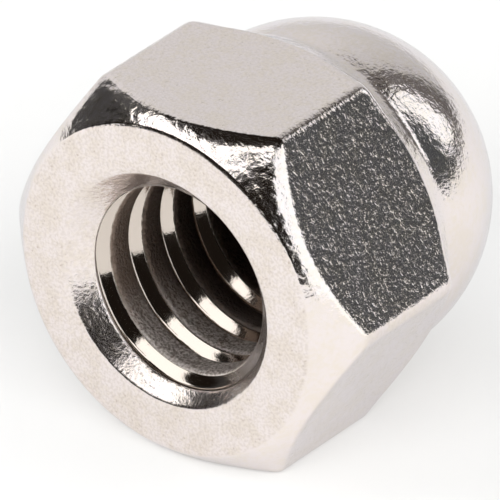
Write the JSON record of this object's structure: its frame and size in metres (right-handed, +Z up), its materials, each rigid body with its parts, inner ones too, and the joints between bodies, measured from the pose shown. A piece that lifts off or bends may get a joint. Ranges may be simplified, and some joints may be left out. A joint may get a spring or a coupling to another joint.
{
  "type": "domed cap nut",
  "caption": "Domed cap nut in stainless steel: a chamfered hexagon closed at one end by a round dome, with a blind threaded hole that covers the end of a screw.",
  "frame": {"origin": "centre of the bearing face, on the thread axis", "axes": "+Y along the thread axis from the bearing face to the dome, +Z up, square to the flat opposite the one it lies on, +X through a corner of the hexagon"},
  "size_m": [0.0108, 0.0105, 0.0096],
  "materials": {
    "stainless_steel": "tumbled and polished stainless steel"
  },
  "bodies": {
    "root": {"cap_nut": "stainless_steel"}
  },
  "joints": []
}
